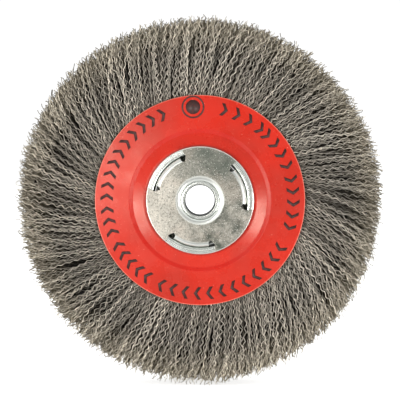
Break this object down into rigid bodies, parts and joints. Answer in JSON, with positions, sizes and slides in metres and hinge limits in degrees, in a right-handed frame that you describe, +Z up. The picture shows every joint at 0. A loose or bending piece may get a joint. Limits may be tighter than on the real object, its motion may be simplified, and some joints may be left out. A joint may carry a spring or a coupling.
{
  "type": "wire wheel brush",
  "caption": "Crimped steel wire wheel brush for a bench grinder, with red side plates, a rolled arbor eyelet, removable eared arbor adaptors and a reducing bush.",
  "frame": {"origin": "the middle of the spindle bore, on the wheel's axis and its middle plane", "axes": "+Y along the wheel's axis towards its rear plate, so the front plate faces -Y; +Z up; +X to the right seen from the front"},
  "size_m": [0.15, 0.02, 0.15],
  "materials": {
    "red_enamel": "gloss",
    "bright_zinc_plate": "bright",
    "dull_zinc_plate": "mottled satin",
    "crimped_steel_wire": "drawn wire"
  },
  "bodies": {
    "wheel": {"front_plate": "red_enamel", "rear_plate": "red_enamel", "arbor_eyelet": "bright_zinc_plate", "retaining_ring": "crimped_steel_wire", "wire_section_01": "crimped_steel_wire", "wire_section_02": "crimped_steel_wire", "wire_section_03": "crimped_steel_wire", "wire_section_04": "crimped_steel_wire", "wire_section_05": "crimped_steel_wire", "wire_section_06": "crimped_steel_wire", "wire_section_07": "crimped_steel_wire", "wire_section_08": "crimped_steel_wire", "wire_section_09": "crimped_steel_wire", "wire_section_10": "crimped_steel_wire", "wire_section_11": "crimped_steel_wire", "wire_section_12": "crimped_steel_wire", "wire_section_13": "crimped_steel_wire", "wire_section_14": "crimped_steel_wire", "wire_section_15": "crimped_steel_wire", "wire_section_16": "crimped_steel_wire", "wire_section_17": "crimped_steel_wire", "wire_section_18": "crimped_steel_wire", "wire_section_19": "crimped_steel_wire", "wire_section_20": "crimped_steel_wire", "wire_section_21": "crimped_steel_wire", "wire_section_22": "crimped_steel_wire", "wire_section_23": "crimped_steel_wire", "wire_section_24": "crimped_steel_wire"},
    "front_adaptor": {"front_adaptor": "dull_zinc_plate"},
    "rear_adaptor": {"rear_adaptor": "dull_zinc_plate"},
    "reducing_bush": {"reducing_bush": "bright_zinc_plate"}
  },
  "joints": [
    {"name": "front_adaptor_pull", "type": "slide", "parent": "wheel", "child": "front_adaptor", "axis": [0, -1, 0], "range_m": [0, 0.025]},
    {"name": "rear_adaptor_pull", "type": "slide", "parent": "wheel", "child": "rear_adaptor", "axis": [0, 1, 0], "range_m": [0, 0.025]},
    {"name": "bush_pull", "type": "slide", "parent": "wheel", "child": "reducing_bush", "axis": [0, -1, 0], "range_m": [0, 0.05]}
  ]
}
